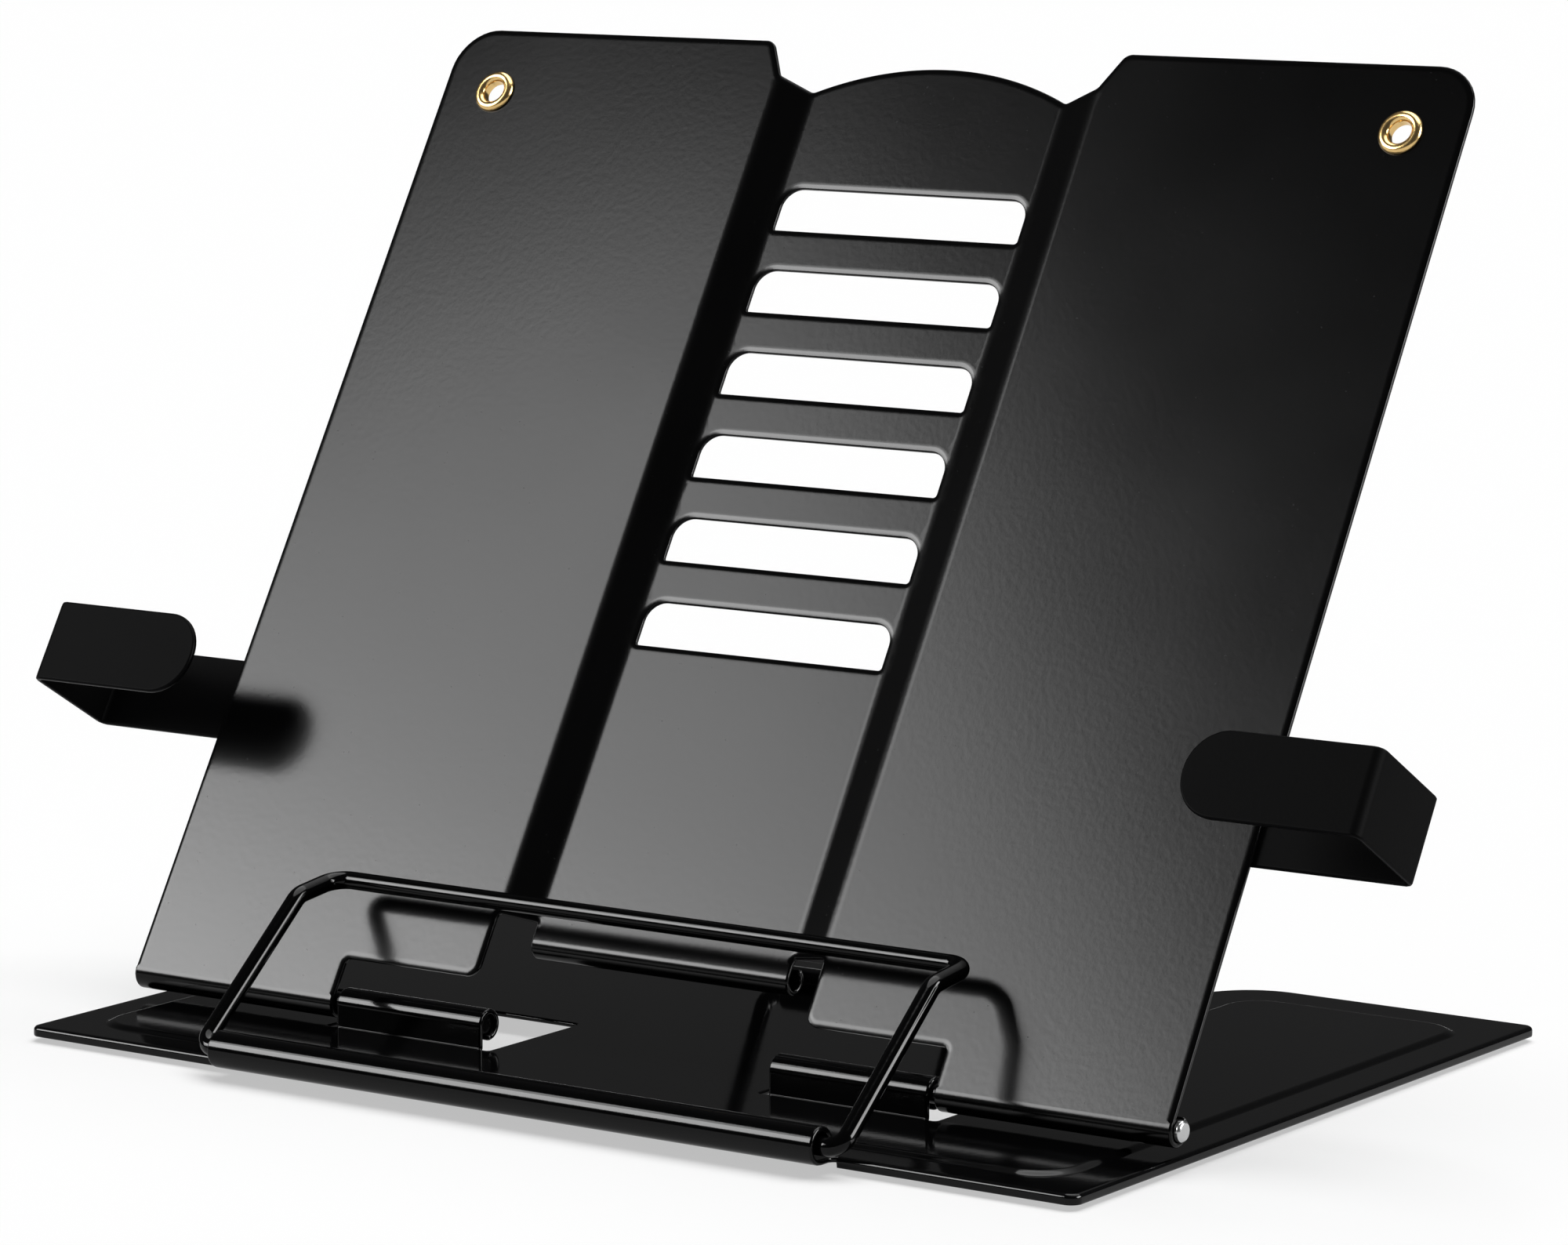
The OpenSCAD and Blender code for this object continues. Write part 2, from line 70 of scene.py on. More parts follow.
def roundCorners(corners, arcStep=9.0):
    # each corner is x, y and radius; a round corner is an arc between the two points of touch
    pieces = []
    for here, before, after in zip(corners, corners[-1:] + corners[:-1], corners[1:] + corners[:1]):
        at = np.array(here[:2], float)
        back = np.array(before[:2], float) - at
        ahead = np.array(after[:2], float) - at
        back /= np.linalg.norm(back)
        ahead /= np.linalg.norm(ahead)
        halfAngle = 0.5 * np.arccos(np.clip(back @ ahead, -1, 1))
        bisector = back + ahead
        if here[2] <= 0 or np.linalg.norm(bisector) < 1e-6:
            pieces.append(at[None])
            continue
        centre = at + bisector / np.linalg.norm(bisector) * here[2] / np.sin(halfAngle)
        touch = here[2] / np.tan(halfAngle)
        first, last = at + back * touch - centre, at + ahead * touch - centre
        sweep = np.pi - 2 * halfAngle
        share = np.linspace(0, 1, int(np.ceil(np.degrees(sweep) / arcStep)) + 1)[:, None]
        spoke = (np.sin((1 - share) * sweep) * first + np.sin(share * sweep) * last) / np.sin(sweep)
        pieces.append(centre + spoke)
    return np.concatenate(pieces)


def mirrored(right):
    return right + [(-x, y, r) for x, y, r in right[::-1]]


def stepped(loop, step):
    # points no further apart than step, along each side of a closed loop
    span = np.roll(loop, -1, axis=0) - loop
    count = np.maximum(1, np.ceil(np.linalg.norm(span, axis=1) / step)).astype(int)
    rank = np.arange(count.sum()) - np.repeat(np.cumsum(count) - count, count)
    return np.repeat(loop, count, axis=0) + np.repeat(span / count[:, None], count, axis=0) * rank[:, None]


def inward(loop):
    # the direction to the left of each point, halfway between its two sides, lengthened at corners
    leastShare = 0.6
    side = np.roll(loop, -1, axis=0) - loop
    left = np.stack([-side[:, 1], side[:, 0]], axis=1) / np.linalg.norm(side, axis=1)[:, None]
    middle = left + np.roll(left, 1, axis=0)
    middle /= np.linalg.norm(middle, axis=1)[:, None]
    return middle / np.maximum(leastShare, np.sum(middle * left, axis=1))[:, None]


def windings(points, loops):
    # how many times the loops run round each point, by the signed angles of their sides
    total = np.zeros(len(points))
    for loop in loops:
        ray = loop[None] - points[:, None]
        following = np.roll(ray, -1, axis=1)
        cross = ray[..., 0] * following[..., 1] - ray[..., 1] * following[..., 0]
        total += np.arctan2(cross, np.sum(ray * following, axis=2)).sum(axis=1)
    return np.rint(total / (2 * np.pi)).astype(int)


def gridPoints(columns, rows):
    return np.stack(np.meshgrid(columns, rows, indexing="ij"), axis=-1).reshape(-1, 2)


def bentPath(corners):
    # an open path with round bends, as finely spaced points and the length to each of them
    path = roundCorners(corners, arcStep=6.0)
    return path, np.concatenate([[0], np.cumsum(np.linalg.norm(np.diff(path, axis=0), axis=1))])


def alongPath(path, length, at):
    # place and left-hand normal at a length along the path; normals are averaged at its points
    step = np.diff(path, axis=0) / np.diff(length)[:, None]
    heading = np.concatenate([step[:1], (step[1:] + step[:-1]) / 2, step[-1:]])
    place = np.column_stack([np.interp(at, length, path[:, i]) for i in (0, 1)])
    ahead = np.column_stack([np.interp(at, length, heading[:, i]) for i in (0, 1)])
    overrun = np.clip(at - length[-1], 0, None)[:, None] + np.clip(at, None, 0)[:, None]
    return place + overrun * ahead, np.column_stack([-ahead[:, 1], ahead[:, 0]])


# making a mesh

def unit(vectors):
    return vectors / np.linalg.norm(vectors, axis=1)[:, None]


def makePiece(name, nodes, points, normals, faces, finish, rim=None):
    mesh = bpy.data.meshes.new(name)
    mesh.from_pydata((points / perMetre).tolist(), [], faces)
    mesh.polygons.foreach_set("use_smooth", np.ones(len(mesh.polygons), bool))
    edge = mesh.attributes.new("edgeShare", "FLOAT", "POINT")
    edge.data.foreach_set("value", np.zeros(len(points)) if rim is None else rim)
    mesh.normals_split_custom_set_from_vertices(unit(normals).tolist())
    mesh.materials.append(finish)
    piece = bpy.data.objects.new(name, mesh)
    bpy.context.scene.collection.objects.link(piece)
    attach(piece, bodyOf[nodes[0]])
    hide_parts(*nodes)
    print(name, len(points), "points")
    return piece


def rimSections(sheet):
    # a rim's section runs from the underside round the edge to the face, as inset and height with its
    # normal: first the plain rim of two quarter rounds, then a lip that is bent down or a face that rolls
    # over softly
    half, radius = sheet["thickness"] / 2, sheet["rimRadius"]
    sections = [[(radius, -half, 0), (0, -half, radius - hair), (0, half, radius - hair), (radius, half, 0)]]
    if "lipDrop" in sheet:
        inset, inner, low = sheet["lipInset"], 2 * half, -half - sheet["lipDrop"]
        sections.append([(inset, -half, 0), (inner, -half, radius / 2), (inner, low, radius / 2),
                         (0, low, radius / 2), (0, half, sheet["lipRadius"]), (inset, half, 0)])
    if "softSink" in sheet:
        inset, edge = sheet["softInset"], half - sheet["softSink"]
        sections.append([(inset, -half, 0), (0, -half, radius / 2), (0, edge, radius / 2),
                         (sheet["softRun"], half, sheet["softRadius"]), (inset, half, 0)])
    paths = [bentPath(corners) for corners in sections]
    return [alongPath(*path, np.linspace(0, path[1][-1], sheet["rimSteps"])) for path in paths]


def clearOf(rim, fill, gap):
    # the fill's points that keep a gap to every point of the rim, a batch at a time
    batch = 400
    parts = np.array_split(fill, max(1, len(fill) // batch))
    nearest = [np.sqrt(((part[:, None] - rim[None]) ** 2).sum(-1)).min(1) for part in parts]
    return fill[np.concatenate(nearest) > gap]


def filledFaces(points, borders, loops):
    # triangles between the points of the flat, along the borders and inside the loops, all turned one way
    vertices = [Vector(point) for point in points.tolist()]
    _, _, triangles, origin, _, _ = delaunay_2d_cdt(vertices, borders, [], 0, 1e-6)
    triangles = np.array([source[0] for source in origin])[np.array(triangles)]
    triangles = triangles[windings(points[triangles].mean(axis=1), loops) == 1]
    corner = points[triangles]
    side, other = corner[:, 1] - corner[:, 0], corner[:, 2] - corner[:, 0]
    backward = side[:, 0] * other[:, 1] - side[:, 1] * other[:, 0] < 0
    triangles[backward] = triangles[backward][:, ::-1]
    return triangles


def bentSheet(name, nodes, outline, holes, fill, place, sheet, finish, flipped=False, shaped=None):
    # a flat blank, rounded along every cut edge, then bent: place gives the middle surface and its normal
    # the rim's section is carried along every outline, and the two faces are filled in the flat
    # shaped says where the second section is used, from the points and whether they are on the outer outline
    half, nudge = sheet["thickness"] / 2, 0.05
    loops = [turned(stepped(outline, sheet["step"]), True)]
    loops += [turned(stepped(hole, sheet.get("holeStep", sheet["step"])), False) for hole in holes]
    starts = np.cumsum([0] + [len(loop) for loop in loops])
    ahead = np.concatenate([np.roll(np.arange(len(loop)), -1) + start for loop, start in zip(loops, starts)])
    edge, into = np.concatenate(loops), np.concatenate([inward(loop) for loop in loops])
    which = np.zeros(len(edge), int)
    if shaped is not None:
        which[shaped(edge, np.arange(len(edge)) < len(loops[0]))] = 1
    section, facing = (np.stack(part)[which].transpose(1, 0, 2) for part in zip(*rimSections(sheet)))
    rings = edge[None] + into[None] * section[..., :1]
    flat = rings[-1]
    count, total = len(flat), len(rings) * len(flat)
    innerLoops = [flat[start:start + len(loop)] for loop, start in zip(loops, starts)]
    fill = np.unique(np.round(fill, 2), axis=0)
    fill = clearOf(flat, fill[windings(fill, innerLoops) == 1], sheet["clearOfRim"])
    borders = np.stack([np.arange(count), ahead], axis=1).tolist()
    triangles = filledFaces(np.concatenate([flat, fill]), borders, innerLoops)
    middle, up = place(rings.reshape(-1, 2))
    up = up.reshape(len(rings), count, 3)
    ringPoints = middle.reshape(len(rings), count, 3) + up * section[..., 1:]
    outOf = unit(place(edge)[0] - place(edge + into * nudge)[0])
    ringNormals = up * facing[..., 1:] - outOf[None] * facing[..., :1]
    fillMiddle, fillUp = place(fill)
    fillPoints = [fillMiddle + fillUp * half, fillMiddle - fillUp * half]
    points = np.concatenate([ringPoints.reshape(-1, 3)] + fillPoints)
    normals = np.concatenate([ringNormals.reshape(-1, 3), fillUp, -fillUp])
    rim = np.concatenate([np.clip(-facing[..., 0], 0, 1).reshape(-1), np.zeros(2 * len(fill))])
    front = np.where(triangles < count, triangles + total - count, triangles - count + total)
    rear = np.where(triangles < count, triangles, triangles - count + total + len(fill))[:, ::-1]
    row = np.arange(len(rings) - 1)[:, None] * count
    low, lowAhead = row + np.arange(count), row + ahead
    quads = np.stack([low, lowAhead, lowAhead + count, low + count], axis=-1).reshape(-1, 4)
    faces = [part[:, ::-1] if flipped else part for part in (front, rear, quads)]
    faces = sum((part.tolist() for part in faces), [])
    return makePiece(name, nodes, points, normals, faces, finish, rim)


def sweptGrid(name, nodes, points, normals, closedAlong, finish):
    # a grid of stations along a path by points round a profile, closed round the profile and capped at
    # open ends
    along, around = points.shape[:2]
    stations = np.arange(along if closedAlong else along - 1)[:, None]
    places = np.arange(around)[None]
    nextStation, nextPlace = (stations + 1) % along, (places + 1) % around
    quads = np.stack([stations * around + places, stations * around + nextPlace,
                      nextStation * around + nextPlace, nextStation * around + places], axis=-1)
    caps = [] if closedAlong else [places[0, ::-1].tolist(), (places[0] + (along - 1) * around).tolist()]
    faces = quads.reshape(-1, 4).tolist() + caps
    return makePiece(name, nodes, points.reshape(-1, 3), normals.reshape(-1, 3), faces, finish)


def turnedPiece(name, nodes, profile, centre, axis, across, finish, steps=72, closed=True):
    # a profile of radius and height turned about an axis; the profile runs with its outside on the right
    if closed:
        following, preceding = np.roll(profile, -1, axis=0), np.roll(profile, 1, axis=0)
    else:
        following = np.concatenate([profile[1:], profile[-1:]])
        preceding = np.concatenate([profile[:1], profile[:-1]])
    run = following - preceding
    outside = np.stack([run[:, 1], -run[:, 0]], axis=1)
    angle = np.linspace(0, 2 * np.pi, steps, endpoint=False)[None, :, None]
    spoke = np.cos(angle) * across + np.sin(angle) * np.cross(axis, across)
    points = centre + profile[:, :1, None] * spoke + profile[:, 1:, None] * axis
    normals = outside[:, :1, None] * spoke + outside[:, 1:, None] * axis
    return sweptGrid(name, nodes, points, normals, closed, finish)


# materials

class Value:
    # a socket that takes part in Python sums; each sum adds a Math node
    def __init__(self, look, socket):
        self.look, self.socket = look, socket

    def maths(self, operation, first, second):
        return self.look.node("ShaderNodeMath", {"operation": operation}, {0: first, 1: second})

    def __add__(self, other):
        return self.maths("ADD", self, other)

    def __radd__(self, other):
        return self.maths("ADD", other, self)

    def __sub__(self, other):
        return self.maths("SUBTRACT", self, other)

    def __rsub__(self, other):
        return self.maths("SUBTRACT", other, self)

    def __mul__(self, other):
        return self.maths("MULTIPLY", self, other)

    def __rmul__(self, other):
        return self.maths("MULTIPLY", other, self)

    def __gt__(self, other):
        return self.maths("GREATER_THAN", self, other)


class Look:
    def __init__(self, tree):
        self.tree = tree
        tree.nodes.clear()

    def node(self, kind, settings=None, inputs=None, output=0):
        made = self.tree.nodes.new(kind)
        for key, value in (settings or {}).items():
            setattr(made, key, value)
        for key, value in (inputs or {}).items():
            if isinstance(value, Value):
                self.tree.links.new(value.socket, made.inputs[key])
            else:
                made.inputs[key].default_value = value
        return Value(self, made.outputs[output] if len(made.outputs) else None)

    def objectPlace(self):
        return self.node("ShaderNodeTexCoord", output=3)

    def noise(self, place, scale, detail, roughness=0.5):
        return self.node("ShaderNodeTexNoise", {}, {"Vector": place, "Scale": scale, "Detail": detail,
                                                    "Roughness": roughness})

    def mixColour(self, share, first, second):
        # colours are written as three numbers
        first, second = (c if isinstance(c, Value) else (*c, 1) for c in (first, second))
        return self.node("ShaderNodeMix", {"data_type": "RGBA"}, {0: share, 6: first, 7: second}, 2)

    def bump(self, height, strength, depth):
        return self.node("ShaderNodeBump", {}, {"Strength": strength, "Distance": depth, "Height": height})

    def surface(self, shader):
        self.node("ShaderNodeOutputMaterial", {}, {"Surface": shader})


def newLook(name):
    material = bpy.data.materials.new(name)
    material.use_nodes = True
    return material, Look(material.node_tree)


def blackEnamel(name, paint):
    # stoved black enamel: fine orange peel, slow cloudiness in the gloss, specks of dust, and thinner and
    # glossier paint on cut edges
    material, look = newLook(name)
    place = look.objectPlace()
    edge = look.node("ShaderNodeAttribute", {"attribute_name": "edgeShare"}, output=2)
    cloud = look.noise(place, paint["cloudScale"], detail=3.0)
    peel = look.noise(place, paint["peelScale"], detail=2.0, roughness=0.45)
    dust = look.noise(place, paint["dustScale"], detail=1.0) > paint["dustLevel"]
    colour = look.mixColour(cloud, paint["dark"], paint["light"])
    colour = look.mixColour(edge * paint["edgeTint"], colour, paint["edge"])
    rough = paint["roughness"] + (cloud - 0.5) * paint["cloudRoughness"] + dust * paint["dustRoughness"]
    rough = rough - edge * paint["edgeGloss"]
    look.surface(look.node("ShaderNodeBsdfPrincipled", {}, {
        "Base Color": colour, "Roughness": rough, "IOR": paint["ior"],
        "Specular IOR Level": paint["specular"],
        "Normal": look.bump(peel, paint["peelStrength"], paint["peelDepth"])}))
    return material


def bareMetal(name, metal):
    # polished or drawn metal: fine lines along one direction, a slow tarnish and soft roughness changes
    # nearer the middle than a distance, whose square is given, the metal takes the black enamel's colour and is
    # not metallic, so that only the rod's outer ends show bare steel
    material, look = newLook(name)
    place = look.objectPlace()
    drawn = look.node("ShaderNodeMapping", {}, {"Vector": place, "Scale": metal["lineStretch"]})
    lines = look.noise(drawn, metal["lineScale"], detail=4.0, roughness=0.6)
    tarnish = look.noise(place, metal["tarnishScale"], detail=4.0, roughness=0.6)
    colour = look.mixColour(tarnish, metal["bright"], metal["dull"])
    rough = metal["roughness"] + (lines - 0.5) * metal["lineRoughness"] + tarnish * metal["tarnishRoughness"]
    across = look.node("ShaderNodeSeparateXYZ", {}, {0: place})
    bare = (across * across) > metal["bareBeyond"]
    colour = look.mixColour(bare, enamel["light"], colour)
    look.surface(look.node("ShaderNodeBsdfPrincipled", {}, {
        "Base Color": colour, "Roughness": rough, "Metallic": bare, "Specular IOR Level": enamel["specular"],
        "Normal": look.bump(lines, metal["lineStrength"], metal["lineDepth"])}))
    return material


def mouldedRubber(name, rubber):
    # matt rubber with a fine moulded grain and dusty patches
    material, look = newLook(name)
    place = look.objectPlace()
    grain = look.noise(place, rubber["grainScale"], detail=3.0, roughness=0.6)
    dust = look.noise(place, rubber["dustScale"], detail=4.0, roughness=0.6)
    look.surface(look.node("ShaderNodeBsdfPrincipled", {}, {
        "Base Color": look.mixColour(dust, rubber["dark"], rubber["dusty"]),
        "Roughness": rubber["roughness"] + grain * rubber["grainRoughness"],
        "Specular IOR Level": rubber["specular"],
        "Normal": look.bump(grain, rubber["grainStrength"], rubber["grainDepth"])}))
    return material


enamel = {"dark": (0.0012, 0.0012, 0.0013), "light": (0.0021, 0.0021, 0.0023),
          "edge": (0.008, 0.008, 0.0085), "edgeTint": 0.35, "edgeGloss": 0.05,
          "roughness": 0.2, "cloudScale": 28.0, "cloudRoughness": 0.05,
          "peelScale": 900.0, "peelStrength": 0.03, "peelDepth": 0.0002, "dustScale": 1700.0,
          "dustLevel": 0.79, "dustRoughness": 0.12, "specular": 0.14, "ior": 1.5}
panelEnamel = blackEnamel("panelEnamel", enamel | {"roughness": 0.17})
baseEnamel = blackEnamel("baseEnamel", enamel | {"roughness": 0.09})
wireEnamel = blackEnamel("wireEnamel", enamel | {
    "roughness": 0.08, "cloudScale": 60.0, "cloudRoughness": 0.03})
clipEnamel = blackEnamel("clipEnamel", enamel | {
    "roughness": 0.58, "cloudScale": 45.0, "edgeGloss": 0.3, "specular": 0.02, "peelScale": 1600.0,
    "peelStrength": 0.08})
polish = {"lineRoughness": 0.12, "lineStrength": 0.25, "bareBeyond": -1.0}
brightSteel = bareMetal("brightSteel", polish | {
    "bright": (0.62, 0.63, 0.64), "dull": (0.40, 0.40, 0.40), "roughness": 0.16, "tarnishScale": 180.0,
    "tarnishRoughness": 0.12, "lineStretch": (0.06, 1.0, 1.0), "lineScale": 3500.0, "lineDepth": 0.00004,
    "bareBeyond": (boxOf["back_panel"][1][0] / perMetre) ** 2})
eyeletBrass = bareMetal("eyeletBrass", polish | {
    "bright": (0.80, 0.56, 0.24), "dull": (0.52, 0.34, 0.13), "roughness": 0.14, "tarnishScale": 420.0,
    "tarnishRoughness": 0.16, "lineStretch": (1.0, 1.0, 1.0), "lineScale": 2600.0, "lineDepth": 0.00003})
footRubber = mouldedRubber("footRubber", {
    "dark": (0.010, 0.010, 0.010), "dusty": (0.030, 0.029, 0.028), "roughness": 0.7, "grainRoughness": 0.2,
    "specular": 0.3, "grainScale": 2400.0, "grainStrength": 0.4, "grainDepth": 0.0001, "dustScale": 300.0})
print("finishes made")


# back panel

panel = {"thickness": 0.9, "rimRadius": 0.4, "rimSteps": 20, "step": 0.6, "clearOfRim": 0.4,
         "softInset": 1.35, "softRun": 0.75, "softSink": 0.2, "softRadius": 2.5, "softFrom": 0.6,
         "slope": 59.0, "height": 180.0, "cornerRadius": 8.0, "rollRadius": 2.2, "rollTurn": 258.0,
         "floorHalf": 25.5, "wallRun": 6.5, "recess": 2.0, "bendShare": 0.14, "floorMiddle": 0.2,
         "shoulderRun": 3.6, "shoulderDrop": 6.5, "shoulderRadius": 1.6, "topRadius": 2.2,
         "floorDrop": 8.7, "floorTopRadius": 1.2, "archRise": 5.5, "archShare": 0.93, "archPoints": 41,
         "notchHalf": 59.7, "notchHeight": 7.0, "notchRadius": 1.0, "wingRadius": 2.4, "tipRadius": 0.5,
         "windowHalf": 32.5, "windowHeight": 18.3, "windowRadius": 0.7,
         "hemAt": 15.2, "hemRadius": 1.95, "hemTurn": 256.7, "hemSlack": 0.2, "hemDrop": 1.2,
         "slotCount": 6, "slotHalf": 24.5, "slotHeight": 8.0, "slotPitch": 15.4, "slotLow": 68.2,
         "slotRadius": 3.5, "slotLowRadius": 0.6, "eyeletHole": 2.53, "eyeletSide": 91.0, "eyeletUp": 167.7,
         "zoneSlack": 1.0}
panelFillSteps = {"bendOver": 2.6, "bendColumns": 30, "wingGap": 3.0, "wingColumns": 20, "floorReach": 20.0,
                  "floorColumns": 11, "margin": 1.5, "rowStep": 3.0, "windowGap": 0.5, "rollFrom": 5,
                  "rollRows": (-9.5, 0.6, 0.33), "hemReach": 24.0, "hemColumns": 25,
                  "hemRows": (6.9, 18.0, 0.25)}
panelHalf = boxOf["back_panel"][1][0]
slopeCos, slopeSin = np.cos(np.radians(panel["slope"])), np.sin(np.radians(panel["slope"]))
hingeY, hingeZ = axisAt["panel_fold"][1:]
hingeAt = np.array([0, hingeY, hingeZ])


def onPanel(across, up, out):
    # from across, up the panel and out of its face to the row frame
    return np.stack([across, up * slopeCos - out * slopeSin, up * slopeSin + out * slopeCos], axis=-1)


def panelPlace(flat):
    # a wing stands proud of the sunk floor by two smooth bends, and the sheet settles to the floor's level
    # at the hem; below the edges it runs round a circle
    across, up = flat[:, 0], flat[:, 1]
    share, bend = (np.abs(across) - panel["floorHalf"]) / panel["wallRun"], panel["bendShare"]
    rise = [np.where(t > bend, t, np.clip(t + bend, 0, None) ** 2 / (4 * bend)) for t in (share, share - 1)]
    lean = [np.clip((t + bend) / (2 * bend), 0, 1) for t in (share, share - 1)]
    settle = np.where(np.abs(across) < panel["floorHalf"] + panel["zoneSlack"] / 2,
                      np.clip((up - panel["hemAt"]) / (panel["windowHeight"] - panel["hemAt"]), 0, 1), 1)
    out = panel["floorMiddle"] + panel["recess"] * (rise[0] - rise[1]) * settle
    tilt = -np.sign(across) * panel["recess"] / panel["wallRun"] * (lean[0] - lean[1]) * settle
    hemmed = (np.abs(across) < panel["windowHalf"] - panel["zoneSlack"]) & (up < panel["hemAt"])
    curled = hemmed | (np.abs(across) > panel["notchHalf"] - panel["zoneSlack"]) & (up < 0)
    radius = np.where(hemmed, panel["hemRadius"], panel["rollRadius"])
    low = np.where(hemmed, panel["hemAt"], 0.0)
    angle = np.where(curled, (low - up) / radius, 0.0)
    upNow = np.where(curled, low - radius * np.sin(angle), up)
    outNow = np.where(curled, out - radius * (1 - np.cos(angle)), out)
    normal = onPanel(np.where(curled, 0, tilt), -np.sin(angle), np.cos(angle))
    return onPanel(across, upNow, outNow) + hingeAt, unit(normal)


def panelOutline():
    rollEnd = -panel["rollRadius"] * np.radians(panel["rollTurn"])
    hemEnd = panel["hemAt"] - panel["hemRadius"] * np.radians(panel["hemTurn"])
    channelHalf, top = panel["floorHalf"] + panel["wallRun"], panel["height"]
    archRadius = (panel["floorHalf"] ** 2 + panel["archRise"] ** 2) / (2 * panel["archRise"])
    floorTop = top - panel["floorDrop"]
    archHalf = np.arcsin(panel["floorHalf"] / archRadius) * panel["archShare"]
    right = [(panel["floorHalf"], hemEnd, panel["tipRadius"]),
             (panel["floorHalf"], panel["windowHeight"], panel["windowRadius"]),
             (panel["windowHalf"], panel["windowHeight"], panel["windowRadius"]),
             (panel["windowHalf"], panel["notchHeight"], panel["wingRadius"]),
             (panel["notchHalf"], panel["notchHeight"], panel["notchRadius"]),
             (panel["notchHalf"], rollEnd, panel["tipRadius"]), (panelHalf, rollEnd, panel["tipRadius"]),
             (panelHalf, top, panel["cornerRadius"]),
             (channelHalf + panel["shoulderRun"], top, panel["topRadius"]),
             (channelHalf, top - panel["shoulderDrop"], panel["shoulderRadius"]),
             (panel["floorHalf"], floorTop, panel["floorTopRadius"])]
    arch = [(archRadius * np.sin(a), floorTop + panel["archRise"] - archRadius * (1 - np.cos(a)), 0)
            for a in np.linspace(archHalf, -archHalf, panel["archPoints"])]
    left = [(-x, y, r) for x, y, r in right[::-1]]
    return roundCorners(right + arch + left)


def slotOutline(low):
    half, high = panel["slotHalf"], low + panel["slotHeight"]
    return roundCorners([(-half, low, panel["slotLowRadius"]), (half, low, panel["slotLowRadius"]),
                         (half, high, panel["slotRadius"]), (-half, high, panel["slotRadius"])])


def panelFill():
    steps = panelFillSteps
    bends = np.linspace(panel["floorHalf"] - steps["bendOver"],
                        panel["floorHalf"] + panel["wallRun"] + steps["bendOver"], steps["bendColumns"])
    wing = np.linspace(bends[-1] + steps["wingGap"], panelHalf - steps["margin"], steps["wingColumns"])
    floor = np.linspace(-steps["floorReach"], steps["floorReach"], steps["floorColumns"])
    columns = np.concatenate([-wing[::-1], -bends[::-1], floor, bends, wing])
    grid = gridPoints(columns, np.arange(steps["margin"], panel["height"], steps["rowStep"]))
    aside = np.abs(grid[:, 0]) > panel["windowHalf"]
    grid = grid[aside | (grid[:, 1] > panel["windowHeight"] + steps["windowGap"])]
    outer = wing[steps["rollFrom"]:]
    rolls = gridPoints(np.concatenate([-outer[::-1], outer]), np.arange(*steps["rollRows"]))
    hem = gridPoints(np.linspace(-steps["hemReach"], steps["hemReach"], steps["hemColumns"]),
                     np.arange(*steps["hemRows"]))
    return np.concatenate([grid, rolls, hem])


def panelSoftEdge(edge, outer):
    # every cut edge of the face rolls over softly, but not the rolled lower edges and the eyelets' holes
    onHem = (np.abs(edge[:, 0]) < panel["floorHalf"] + panel["hemSlack"]) & (
        edge[:, 1] < panel["windowHeight"] - panel["hemDrop"])
    rolled = (edge[:, 1] < panel["softFrom"]) | onHem
    return (outer | (np.abs(edge[:, 0]) < panel["floorHalf"])) & ~rolled


holeAngle = np.radians(np.arange(0, 360, 10))
eyeletCircle = panel["eyeletHole"] * np.stack([np.cos(holeAngle), np.sin(holeAngle)], axis=1)
slots = [slotOutline(panel["slotLow"] + i * panel["slotPitch"]) for i in range(panel["slotCount"])]
eyeletHoles = [eyeletCircle + [side * panel["eyeletSide"], panel["eyeletUp"]] for side, _ in sides]
bentSheet("backPanel", ["back_panel"], panelOutline(), slots + eyeletHoles, panelFill(), panelPlace, panel,
          panelEnamel, shaped=panelSoftEdge)


# base plate

base = {"thickness": 0.9, "rimRadius": 0.4, "rimSteps": 20, "step": 0.9, "holeStep": 0.3, "clearOfRim": 0.3,
        "lipDrop": 0.8, "lipInset": 1.5, "lipRadius": 0.7, "cornerRadius": 2.0, "arcStep": 5.0,
        "borderMiddle": 2.05, "fieldRaise": 0.6, "stepWidth": 1.8, "borderSide": 8.0, "borderFront": 7.0,
        "borderRear": 10.0, "fieldRadius": 7.0,
        "cutHalf": 42.5, "cutDepth": 18.0, "cutMouthRadius": 13.5, "cutRadius": 4.0,
        "rollHalf": 59.2, "rollNose": 2.7, "rollRadius": 2.6, "rollTurn": 300.0, "rollTipRadius": 0.5,
        "rollRootRadius": 0.9, "bendRadius": 0.55, "curlTurn": 282.0, "tabRadius": 0.6, "tabLead": 0.2,
        "holeRadius": 1.2, "zoneSlack": 0.5}
baseFillSteps = {"ringStep": 1.6, "ringReach": 0.55, "rings": 11, "margin": 2.0, "columns": 60, "rows": 44,
                 "rollMargin": 1.0, "rollColumns": 40, "rollLead": 0.2, "rollStep": 0.3,
                 "tabMargin": 0.8, "tabColumns": 14, "tabLead": 0.3, "tabStep": 0.15, "tabClear": 1.0}
knuckles = [{"axis": axisAt["panel_fold"][1:], "inner": side * 28.6, "outer": side * 58.6,
             "relief": side * 1.8, "radius": 2.17, "holeLength": 22.0} for side, _ in sides]
knuckles += [{"axis": axisAt["strut_fold"][1:], "inner": -15.5, "outer": 15.5, "relief": 7.3, "radius": 2.0,
              "holeLength": 15.0}]
baseHalf, baseRear = boxOf["base_plate"][1][:2]
loopY, loopZ = axisAt["loop_fold"][1:]
baseFront = loopY + base["rollNose"]
rollEnd = loopY - base["rollRadius"] * np.radians(base["rollTurn"])
fieldMiddle = base["borderMiddle"] + base["fieldRaise"]
